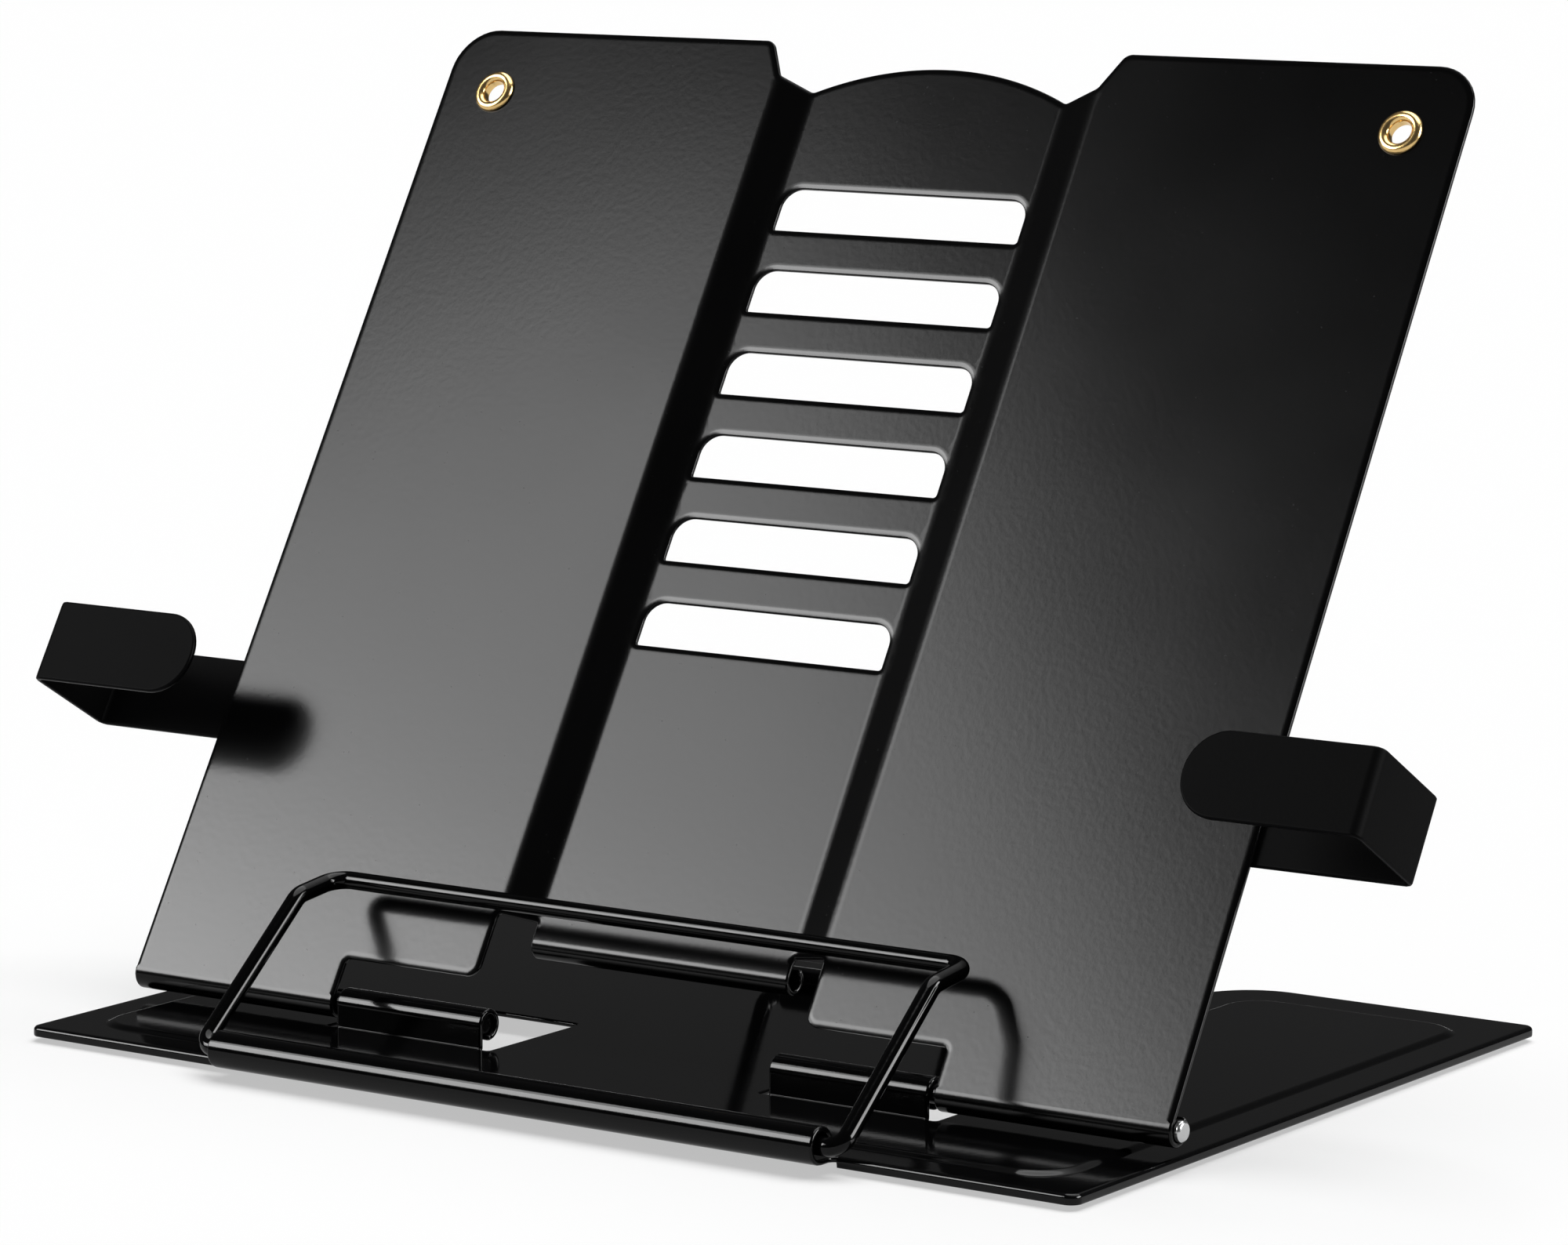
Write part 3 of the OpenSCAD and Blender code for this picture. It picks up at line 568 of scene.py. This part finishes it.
for knuckle in knuckles:
    knuckle["low"], knuckle["high"] = sorted((knuckle["inner"], knuckle["outer"]))
    knuckle["rootY"] = knuckle["axis"][0] - knuckle["radius"] - base["bendRadius"]
    knuckle["wall"] = knuckle["axis"][1] - fieldMiddle - base["bendRadius"]
    knuckle["holeEnd"] = knuckle["axis"][0] + knuckle["holeLength"]
    knuckle["length"] = (base["bendRadius"] * np.pi / 2 + knuckle["wall"]
                         + knuckle["radius"] * np.radians(base["curlTurn"]))
fieldSide, fieldFront = baseHalf - base["borderSide"], baseFront + base["borderFront"]
fieldRear = baseRear - base["borderRear"]
fieldCut = [base["cutHalf"] + base["borderRear"], fieldRear - base["cutDepth"]]


def roundInside(gaps, radius):
    # distance inside a corner of that radius, from the distances inside its two sides
    gaps = radius - gaps
    return radius - np.linalg.norm(np.clip(gaps, 0, None), axis=1) - np.minimum(gaps.max(axis=1), 0)


def fieldShare(flat):
    # how far up the pressed step a point is, by its distance inside the field's outline: a rounded rectangle
    # less a rounded cut-out behind
    centre, half = (fieldFront + fieldRear) / 2, (fieldRear - fieldFront) / 2
    across, along = np.abs(flat[:, 0]), flat[:, 1]
    within = np.column_stack([fieldSide - across, half - np.abs(along - centre)])
    within = roundInside(within, base["fieldRadius"])
    ahead = -roundInside(np.column_stack([fieldCut[0] - across, along - fieldCut[1]]), base["cutRadius"])
    inside = roundInside(np.column_stack([within, ahead]), base["fieldRadius"])
    share = np.clip(inside / base["stepWidth"] + 0.5, 0, 1)
    return share * share * (3 - 2 * share)


def basePlace(flat):
    # border and raised field; the front edge runs round the loop's axis, each tab up and round its own axis
    def height(points):
        return base["borderMiddle"] + base["fieldRaise"] * fieldShare(points)
    nudge, slack = 0.02, base["zoneSlack"]
    slopes = [(height(flat + step) - height(flat - step)) / (2 * nudge) for step in nudge * np.eye(2)]
    points = np.column_stack([flat, height(flat)])
    normals = np.column_stack([-slopes[0], -slopes[1], np.ones(len(flat))])
    rolled = (np.abs(flat[:, 0]) < base["rollHalf"] + slack) & (flat[:, 1] < loopY)
    angle = (loopY - flat[:, 1]) / base["rollRadius"]
    points[rolled, 1] = (loopY - base["rollRadius"] * np.sin(angle))[rolled]
    points[rolled, 2] = (loopZ - base["rollRadius"] * np.cos(angle))[rolled]
    normals[rolled] = np.column_stack([0 * angle, np.sin(angle), np.cos(angle)])[rolled]
    for tab in knuckles:
        along = flat[:, 1] - tab["rootY"]
        on = (flat[:, 0] > tab["low"] - slack) & (flat[:, 0] < tab["high"] + slack)
        on &= (along > 0) & (along < tab["length"] + slack)
        quarter = base["bendRadius"] * np.pi / 2
        bend = np.clip(along / base["bendRadius"], 0, np.pi / 2)
        rise = np.clip(along - quarter, 0, tab["wall"])
        curl = np.clip(along - quarter - tab["wall"], 0, None) / tab["radius"]
        y = tab["rootY"] + base["bendRadius"] * np.sin(bend) + tab["radius"] * (1 - np.cos(curl))
        z = fieldMiddle + base["bendRadius"] * (1 - np.cos(bend)) + rise + tab["radius"] * np.sin(curl)
        turn = bend - curl
        points[on, 1], points[on, 2] = y[on], z[on]
        normals[on] = np.column_stack([0 * turn, -np.sin(turn), np.cos(turn)])[on]
    return points, unit(normals)


def baseOutline():
    cutFront = baseRear - base["cutDepth"]
    return roundCorners(mirrored([
        (base["rollHalf"], rollEnd, base["rollTipRadius"]),
        (base["rollHalf"], baseFront, base["rollRootRadius"]),
        (baseHalf, baseFront, base["cornerRadius"]), (baseHalf, baseRear, base["cornerRadius"]),
        (base["cutHalf"], baseRear, base["cutMouthRadius"]),
        (base["cutHalf"], cutFront, base["cutRadius"])]), base["arcStep"])


def baseLip(edge, outer):
    # the plate's own edge is bent down, the edges of the front roll and the holes are not
    return outer & (edge[:, 1] > baseFront - hair)


def tabOutline(tab):
    # the cut that frees a tab on three sides, wider than the tab by the relief and longer than it
    inner, outer = tab["inner"] - tab["relief"], tab["outer"] + tab["relief"]
    start, tip = tab["rootY"] - base["tabLead"], tab["rootY"] + tab["length"]
    edge, end = base["tabRadius"], base["holeRadius"]
    return roundCorners([(inner, start, edge), (tab["inner"], start, edge), (tab["inner"], tip, edge),
                         (tab["outer"], tip, edge), (tab["outer"], start, edge), (outer, start, edge),
                         (outer, tab["holeEnd"], end), (inner, tab["holeEnd"], end)])


def baseFill():
    # rings along the pressed step, a wide grid elsewhere, and close rows where the roll and the tabs bend
    steps, corner = baseFillSteps, base["fieldRadius"]
    ring = turned(stepped(roundCorners(mirrored([
        (fieldSide, fieldFront, corner), (fieldSide, fieldRear, corner), (fieldCut[0], fieldRear, corner),
        (fieldCut[0], fieldCut[1], base["cutRadius"])]), base["arcStep"]), steps["ringStep"]), True)
    reach = np.linspace(-steps["ringReach"], steps["ringReach"], steps["rings"]) * base["stepWidth"]
    rings = [ring + inward(ring) * away for away in reach]
    margin = steps["margin"]
    grid = gridPoints(np.linspace(-baseHalf + margin, baseHalf - margin, steps["columns"]),
                      np.linspace(baseFront + margin, baseRear - margin, steps["rows"]))
    share = fieldShare(grid)
    clear = (share <= 0) | (share >= 1)
    for tab in knuckles:
        across = np.abs(grid[:, 0] - (tab["low"] + tab["high"]) / 2) - (tab["high"] - tab["low"]) / 2
        clear &= (across > base["zoneSlack"]) | (grid[:, 1] < tab["rootY"] - steps["tabClear"]) | (
            grid[:, 1] > tab["rootY"] + tab["length"])
    rollEdge = base["rollHalf"] - steps["rollMargin"]
    rollRows = np.arange(rollEnd + steps["rollLead"], baseFront + steps["rollMargin"], steps["rollStep"])
    front = gridPoints(np.linspace(-rollEdge, rollEdge, steps["rollColumns"]), rollRows)
    tabs = [gridPoints(np.linspace(tab["low"] + steps["tabMargin"], tab["high"] - steps["tabMargin"],
                                   steps["tabColumns"]),
                       tab["rootY"] + np.arange(-steps["tabLead"], tab["length"], steps["tabStep"]))
            for tab in knuckles]
    return np.concatenate(rings + [grid[clear], front] + tabs)


bentSheet("basePlate", ["base_plate"], baseOutline(), [tabOutline(tab) for tab in knuckles], baseFill(),
          basePlace, base, baseEnamel, shaped=baseLip)


# page clips and their guides

clip = {"thickness": 1.1, "rimRadius": 0.42, "rimSteps": 10, "step": 0.6, "clearOfRim": 0.3, "width": 14.5,
        "middle": 50.0, "lipX": 66.55, "lipOut": -1.6, "stripOut": 0.95, "wallX": 129.85, "tabOut": 20.7,
        "tipX": 97.7, "bend": 1.25, "lipBend": 0.8, "endRadius": 0.6, "tipFlat": 0.2, "arcStep": 6.0,
        "fillStep": 2.0, "fillRows": 9}
guide = {"thickness": 0.9, "rimRadius": 0.35, "rimSteps": 8, "step": 0.7, "clearOfRim": 0.3, "inner": 70.5,
         "outer": 94.5, "flangeOut": 1.3, "bridgeOut": -0.3, "wallUp": 7.95, "flangeEnd": 13.4, "bend": 0.7,
         "cornerRadius": 1.5, "fillStep": 1.5, "fillRows": 13}


def stripFill(strip, length, low, high):
    # columns at every point of the bent path and between them, rows across the strip
    first, margin = 0.5, 1.0
    columns = np.unique(np.concatenate([length, np.arange(first, length[-1], strip["fillStep"])]))
    return gridPoints(columns, np.linspace(low + margin, high - margin, strip["fillRows"]))


def clipParts(side):
    path, length = bentPath([
        (clip["lipX"], clip["lipOut"], 0), (clip["lipX"], clip["stripOut"], clip["lipBend"]),
        (clip["wallX"], clip["stripOut"], clip["bend"]), (clip["wallX"], clip["tabOut"], clip["bend"]),
        (clip["tipX"], clip["tabOut"], 0)])

    def place(flat):
        # the strip follows its path across and out of the panel; the flat's second direction runs up it
        at, left = alongPath(path, length, flat[:, 0])
        normals = onPanel(side * left[:, 0], 0 * left[:, 0], left[:, 1])
        return onPanel(side * at[:, 0], flat[:, 1], at[:, 1]) + hingeAt, unit(normals)
    low, high, tip = clip["middle"] - clip["width"] / 2, clip["middle"] + clip["width"] / 2, length[-1]
    tipRadius = clip["width"] / 2 - clip["tipFlat"]
    outline = roundCorners([(0, low, clip["endRadius"]), (tip, low, tipRadius), (tip, high, tipRadius),
                            (0, high, clip["endRadius"])], clip["arcStep"])
    return outline, stripFill(clip, length, low, high), place


def guideParts(side):
    level, drop, bend = guide["flangeOut"], guide["bridgeOut"], guide["bend"]
    up = [clip["middle"] + share for share in (-guide["flangeEnd"], -guide["wallUp"], guide["wallUp"],
                                               guide["flangeEnd"])]
    path, length = bentPath([(up[0], level, 0), (up[1], level, bend), (up[1], drop, bend),
                             (up[2], drop, bend), (up[2], level, bend), (up[3], level, 0)])

    def place(flat):
        # the hat section lies in the plane up and out of the panel; the flat's second direction runs across
        at, left = alongPath(path, length, flat[:, 0])
        normals = onPanel(0 * left[:, 0], -left[:, 0], -left[:, 1])
        return onPanel(flat[:, 1], at[:, 0], at[:, 1]) + hingeAt, unit(normals)
    low, high = sorted((side * guide["inner"], side * guide["outer"]))
    corners = [(0, low), (length[-1], low), (length[-1], high), (0, high)]
    outline = roundCorners([(*corner, guide["cornerRadius"]) for corner in corners])
    return outline, stripFill(guide, length, low, high), place


for side, name in sides:
    outline, fill, place = clipParts(side)
    bentSheet(name + "PageClip", [name + "_page_clip"], outline, [], fill, place, clip,
              clipEnamel, flipped=side < 0)
for side, name in sides:
    outline, fill, place = guideParts(side)
    bentSheet(name + "ClipGuide", [name + "_clip_guide"], outline, [], fill, place, guide,
              clipEnamel)


# bent wires

loopWire = {"node": "page_loop", "wireRadius": 1.5, "half": 62.6, "leg": 32.4, "head": 10.1, "footBend": 2.6,
            "topBend": 3.4, "slope": 40.0, "kneeTurn": 33.0, "kneeRadius": 4.0, "step": 0.7}
strutWire = {"node": "support_strut", "wireRadius": 1.5, "half": 19.5, "leg": 64.31, "head": 0.0,
             "footBend": 2.8, "topBend": 2.8, "slope": 118.0, "kneeTurn": 0.0, "kneeRadius": 4.0,
             "step": 1.2}


def leaning(angle):
    # the two directions in and square to a sheet that leans at an angle
    none = 0 * angle
    return (np.column_stack([none, np.cos(angle), np.sin(angle)]),
            np.column_stack([none, -np.sin(angle), np.cos(angle)]))


def bentWire(name, wire, axis):
    # a circle carried round a rectangle with round corners; the rectangle leans back about the axis and its
    # sheet is bent once more round the knees
    wireSides, arcStep = 28, 5.0
    knee, half = np.radians(wire["kneeTurn"]), wire["half"]
    cut, bend = wire["kneeRadius"] * np.tan(knee / 2), wire["kneeRadius"] * knee
    start = wire["leg"] - cut
    height = start + bend + wire["head"] - cut
    corners = [(-half, 0, wire["footBend"]), (half, 0, wire["footBend"]),
               (half, height, wire["topBend"]), (-half, height, wire["topBend"])]
    route = stepped(roundCorners(corners, arcStep), wire["step"])
    turn = np.clip((route[:, 1] - start) / wire["kneeRadius"], 0, knee)
    past = np.clip(route[:, 1] - start - bend, 0, None)
    along = np.minimum(route[:, 1], start) + wire["kneeRadius"] * np.sin(turn) + past * np.cos(turn)
    out = wire["kneeRadius"] * (np.cos(turn) - 1) - past * np.sin(turn)
    slope = np.radians(wire["slope"]) + 0 * turn
    upward, outward = leaning(slope)
    centre = axis + along[:, None] * upward + out[:, None] * outward
    centre[:, 0] = route[:, 0]
    run = unit(np.roll(route, -1, axis=0) - np.roll(route, 1, axis=0))
    upward, outward = leaning(slope - turn)
    side = -run[:, 1:] * np.array([1.0, 0, 0]) + run[:, :1] * upward
    angle = np.linspace(0, 2 * np.pi, wireSides, endpoint=False)[None, :, None]
    normals = np.cos(angle) * side[:, None] + np.sin(angle) * outward[:, None]
    return sweptGrid(name, [wire["node"]], centre[:, None] + wire["wireRadius"] * normals, normals, True,
                     wireEnamel)


bentWire("pageLoop", loopWire, axisAt["loop_fold"])
bentWire("supportStrut", strutWire, axisAt["strut_fold"])


# rods, eyelets and feet

rod = {"radius": 1.7, "chamfer": 0.3, "edgeRound": 0.12, "capInset": 0.48, "endEase": 0.03, "sideEase": 0.05,
       "bodyFrom": 1.0, "bodyRings": 30}
eyelet = {"hole": 2.0, "wall": 0.5, "frontRim": 1.9, "rearRim": 1.6, "front": 2.65, "rear": 1.75,
          "rimPoints": 17}
foot = {"radius": 6.0, "taper": 0.6, "edgeRound": 0.35, "height": 1.6, "dish": 0.3, "dishRadius": 3.6,
        "dishFrom": 0.02, "dishRings": 8, "edgeRings": 6, "topEase": 0.02, "topRound": 0.1, "topInner": 0.05}


def rodProfile(inner, outer):
    # a flat inner end, the length of the rod and a chamfered outer end
    radius, edge, cap = rod["radius"], rod["edgeRound"], rod["capInset"]
    end, shoulder = radius - rod["chamfer"], outer - rod["chamfer"]
    outerEnd = [(end - cap, outer), (end - edge, outer), (end, outer - rod["endEase"]),
                (radius - rod["sideEase"], shoulder), (radius, shoulder - edge)]
    body = [(radius, x) for x in np.linspace(outer - rod["bodyFrom"], inner + 2 * edge, rod["bodyRings"])]
    innerEnd = [(radius - edge, inner), (radius - cap, inner)]
    return np.array(outerEnd + body + innerEnd)[::-1]


def eyeletProfile():
    # half circles for the front and rear rims, joined by the hole inside and the barrel outside
    turn = np.radians(np.linspace(0, 180, eyelet["rimPoints"]))
    arc = np.column_stack([np.cos(turn), np.sin(turn)])
    front, rear = eyelet["frontRim"] / 2, eyelet["rearRim"] / 2
    barrel = eyelet["hole"] + eyelet["wall"]
    return np.concatenate([np.array([eyelet["hole"] + front, eyelet["front"]]) + front * arc,
                           np.array([eyelet["hole"] + rear, eyelet["rear"]]) - rear * arc,
                           [[barrel, eyelet["rear"]], [barrel, eyelet["front"]]]])


def footProfile():
    # a shallow dish underneath, a rounded lower edge, a tapered side and a flat top
    low, high, edge = foot["radius"] - foot["taper"], foot["radius"], foot["edgeRound"]
    dish = np.linspace(foot["dishFrom"], 1, foot["dishRings"])
    under = [(foot["dishRadius"] * t, foot["dish"] * (1 - t * t)) for t in dish]
    turn = np.radians(np.linspace(-90, 0, foot["edgeRings"]))
    rounded = [(low - edge * (1 - np.cos(t)), edge * (1 + np.sin(t))) for t in turn]
    top = [(high, foot["height"] - foot["topEase"]), (high - foot["topRound"], foot["height"]),
           (foot["topInner"], foot["height"])]
    return np.array(under + rounded + top)


for side, name in sides:
    ends = sorted(np.abs([corner[0] for corner in boxOf[name + "_hinge_rod"]]))
    turnedPiece(name + "HingeRod", [name + "_hinge_rod"], rodProfile(*ends), hingeAt,
                np.array([side, 0.0, 0]), np.array([0, 1.0, 0]), brightSteel, steps=40,
                closed=False)
    middle = onPanel(np.array(side * panel["eyeletSide"]), np.array(panel["eyeletUp"]), np.array(0.0))
    turnedPiece(name + "Eyelet", [name + "_eyelet"], eyeletProfile(), middle + hingeAt,
                np.array([0, -slopeSin, slopeCos]), np.array([1.0, 0, 0]), eyeletBrass)
for name in ("front_left", "front_right", "rear_left", "rear_right"):
    lowest, highest = boxOf[name + "_foot"]
    centre = np.array([(lowest[0] + highest[0]) / 2, (lowest[1] + highest[1]) / 2, 0])
    first, second = name.split("_")
    turnedPiece(first + second.capitalize() + "Foot", [name + "_foot"], footProfile(), centre,
                np.array([0, 0, 1.0]), np.array([1.0, 0, 0]), footRubber, steps=64,
                closed=False)


# floor, light and camera, in metres apart from the camera's places

studio = {"floorHalf": 9.0, "floorDrop": 5e-5, "floorWhite": 0.94, "floorGlow": 0.5, "worldGrey": 0.06,
          "skyFrom": (0.0, 0.35, 1.0), "skyAngle": 60.0, "skyStrength": 3.3, "lampTarget": (0.0, 0.0, 0.07)}
softLights = [
    {"name": "upperLight", "at": (-1.781, -1.836, 1.5), "size": (1.408, 1.11), "roll": -0.524,
     "watts": 60.0},
    {"name": "lowerLight", "at": (-2.498, -2.166, 1.529), "size": (1.976, 1.3), "roll": 0.328,
     "watts": 118.0},
    {"name": "sideLight", "at": (2.52, 0.85, 1.2), "size": (2.0, 1.4), "roll": 0.3, "watts": 220.0}]
view = {"place": (571.3, -815.1, 219.9), "target": (-1.47, 5.3, 69.7), "lens": 141.0, "sensor": 36.0,
        "clipEnd": 50.0}


def makeFloor():
    # a matt white floor that shows as partly glowing, so that the background is white and the shadow pale
    half, low = studio["floorHalf"], -studio["floorDrop"]
    mesh = bpy.data.meshes.new("studioFloor")
    mesh.from_pydata([(-half, -half, low), (half, -half, low), (half, half, low), (-half, half, low)], [],
                     [(0, 1, 2, 3)])
    material, look = newLook("paleFloor")
    sockets = look.node("ShaderNodeLightPath").socket.node.outputs
    seen = Value(look, sockets["Is Camera Ray"]) + Value(look, sockets["Is Glossy Ray"])
    seen = (seen + Value(look, sockets["Is Transmission Ray"])) > 0.5
    white = (studio["floorWhite"],) * 3 + (1,)
    matt = look.node("ShaderNodeBsdfDiffuse", {}, {"Color": white})
    glow = look.node("ShaderNodeEmission", {}, {"Color": (1, 1, 1, 1), "Strength": 1.0})
    look.surface(look.node("ShaderNodeMixShader", {}, {0: seen * studio["floorGlow"], 1: matt, 2: glow}))
    mesh.materials.append(material)
    floor = bpy.data.objects.new("studioFloor", mesh)
    bpy.context.scene.collection.objects.link(floor)


def makeWorld():
    world = bpy.data.worlds.new("dimStudio")
    world.use_nodes = True
    look = Look(world.node_tree)
    grey = (studio["worldGrey"],) * 3 + (1,)
    grey = look.node("ShaderNodeBackground", {}, {"Color": grey, "Strength": 1.0})
    look.node("ShaderNodeOutputWorld", {}, {"Surface": grey})
    bpy.context.scene.world = world


def addHolder(name, held, place, target, roll=0.0):
    # a lamp or a camera at a place, turned towards its target
    holder = bpy.data.objects.new(name, held)
    holder.location = place
    aim = (Vector(target) - Vector(place)).to_track_quat("-Z", "Y")
    holder.rotation_euler = (aim @ Quaternion((0, 0, 1), roll)).to_euler()
    bpy.context.scene.collection.objects.link(holder)
    return holder


makeFloor()
makeWorld()
# the soft lights are there for the gloss; the sky alone lights the matt surfaces, at a plain level
for light in softLights:
    lamp = bpy.data.lights.new(light["name"], "AREA")
    lamp.shape, lamp.energy = "RECTANGLE", light["watts"]
    lamp.size, lamp.size_y = light["size"]
    holder = addHolder(light["name"], lamp, light["at"], studio["lampTarget"], light["roll"])
    holder.visible_diffuse = False
sky = bpy.data.lights.new("softSky", "SUN")
sky.angle, sky.energy = np.radians(studio["skyAngle"]), studio["skyStrength"]
addHolder("softSky", sky, studio["skyFrom"], (0, 0, 0))

camera = bpy.data.cameras.new("photoCamera")
camera.lens, camera.sensor_width, camera.sensor_fit = view["lens"], view["sensor"], "HORIZONTAL"
camera.clip_end = view["clipEnd"]
bpy.context.scene.camera = addHolder("photoCamera", camera, Vector(view["place"]) / perMetre,
                                     Vector(view["target"]) / perMetre)
bpy.context.scene.view_settings.view_transform = "Standard"
print("studio set up")
